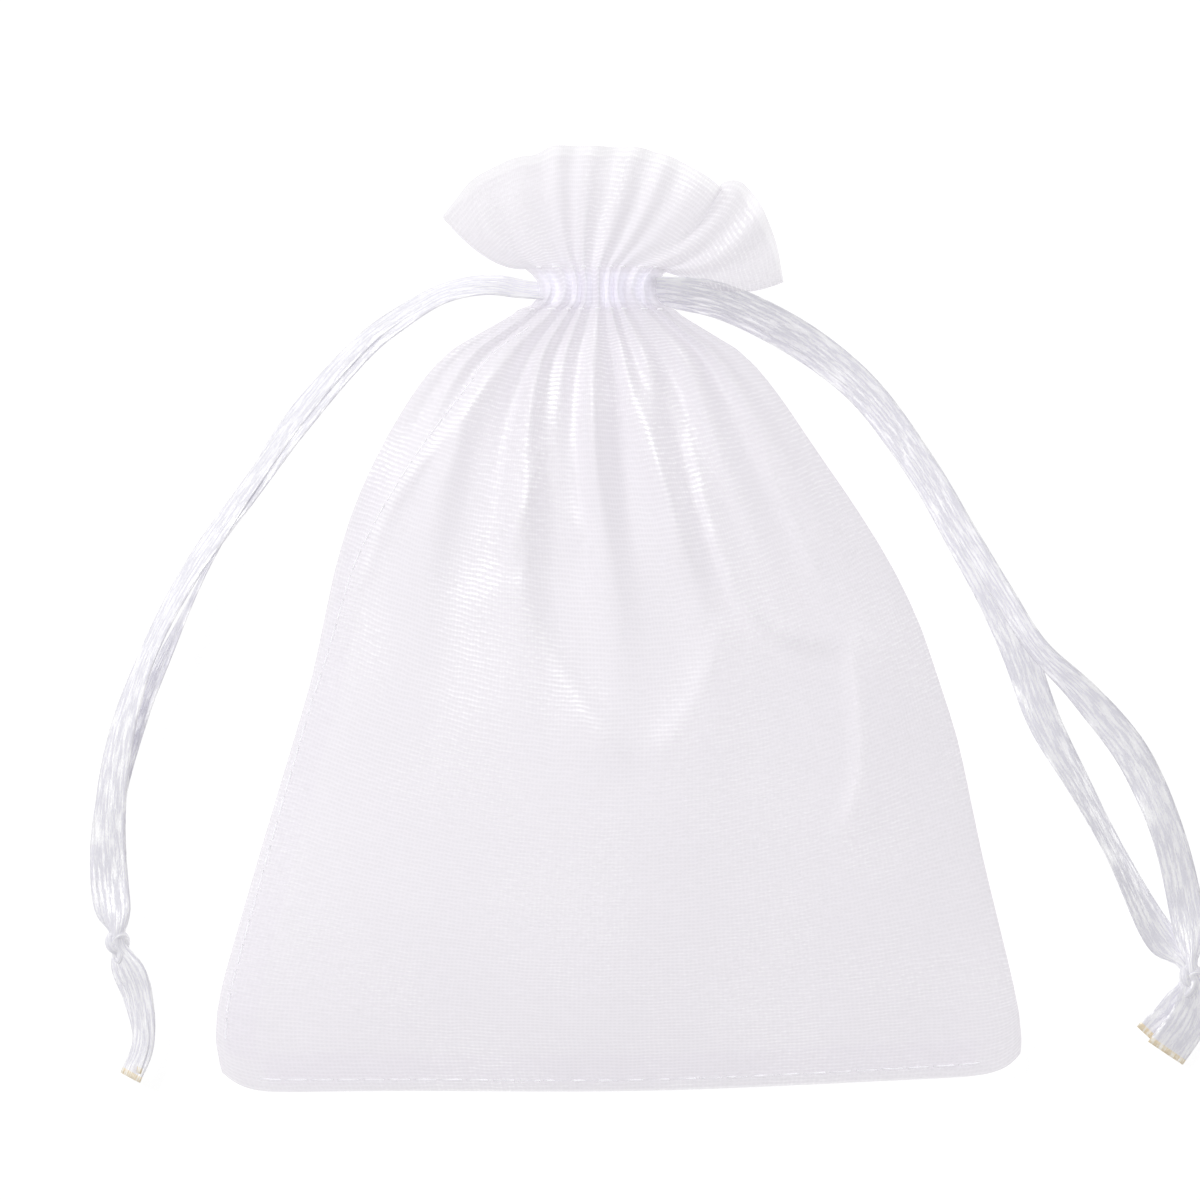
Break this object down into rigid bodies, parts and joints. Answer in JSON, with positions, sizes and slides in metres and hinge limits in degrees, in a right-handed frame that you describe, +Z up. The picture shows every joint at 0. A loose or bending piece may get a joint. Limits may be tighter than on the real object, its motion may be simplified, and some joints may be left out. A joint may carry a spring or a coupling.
{
  "type": "drawstring gift pouch",
  "caption": "Small sheer organza pouch lying flat, its ruffled mouth drawn shut by satin ribbons knotted at both sides",
  "frame": {"origin": "under the middle of the pouch, on the surface that it lies on", "axes": "+Y from the bottom edge to the ruffled mouth, +X to the right seen from above, +Z up"},
  "size_m": [0.097, 0.082, 0.0124],
  "materials": {
    "organza": "sheer white organza with a fine shiny weave",
    "hem_cloth": "the same organza, doubled at the hem and seams",
    "thread": "white polyester sewing thread",
    "satin_ribbon": "white satin with a lengthwise sheen"
  },
  "bodies": {
    "pouch": {"front_panel": "organza", "back_panel": "organza", "side_seam_allowance": "hem_cloth", "bottom_seam_allowance": "hem_cloth", "side_seam_stitching": "thread", "bottom_seam_stitching": "thread", "back_neck": "organza", "back_hem_facing": "hem_cloth", "back_ruffle": "organza", "back_casing_lower_stitching": "thread", "back_casing_upper_stitching": "thread", "left_ribbon_back_run": "satin_ribbon", "right_ribbon_back_run": "satin_ribbon"},
    "mouth_front": {"front_neck": "organza", "front_hem_facing": "hem_cloth", "front_ruffle": "organza", "front_casing_lower_stitching": "thread", "front_casing_upper_stitching": "thread", "left_ribbon_front_run": "satin_ribbon", "right_ribbon_front_run": "satin_ribbon"},
    "left_drawstring": {"left_ribbon_front_leg": "satin_ribbon", "left_ribbon_back_leg": "satin_ribbon"},
    "right_drawstring": {"right_ribbon_front_leg": "satin_ribbon", "right_ribbon_back_leg": "satin_ribbon"},
    "left_free_end": {"left_ribbon_front_end": "satin_ribbon", "left_ribbon_back_end": "satin_ribbon", "left_knot": "satin_ribbon"},
    "right_free_end": {"right_ribbon_front_end": "satin_ribbon", "right_ribbon_back_end": "satin_ribbon", "right_knot": "satin_ribbon"}
  },
  "joints": [
    {"name": "mouth_open", "type": "hinge", "parent": "pouch", "child": "mouth_front", "pos_m": [0, 0.016, 0.0089], "axis": [1, 0, 0], "range_deg": [0, 35]},
    {"name": "left_drawstring_feed", "type": "slide", "parent": "pouch", "child": "left_drawstring", "axis": [-1, 0, 0], "range_m": [-0.0025, 0]},
    {"name": "right_drawstring_feed", "type": "slide", "parent": "pouch", "child": "right_drawstring", "axis": [1, 0, 0], "range_m": [-0.0025, 0]},
    {"name": "left_ribbon_swing", "type": "hinge", "parent": "left_drawstring", "child": "left_free_end", "pos_m": [-0.0225, 0.0235, 0.001], "axis": [0, 0, -1], "range_deg": [-5, 45]},
    {"name": "right_ribbon_swing", "type": "hinge", "parent": "right_drawstring", "child": "right_free_end", "pos_m": [0.022, 0.0192, 0.001], "axis": [0, 0, 1], "range_deg": [-5, 45]}
  ],
  "couplings": [
    {"joint": "left_drawstring_feed", "follows": "mouth_open", "m_per_rad": -0.004},
    {"joint": "right_drawstring_feed", "follows": "mouth_open", "m_per_rad": -0.004}
  ]
}
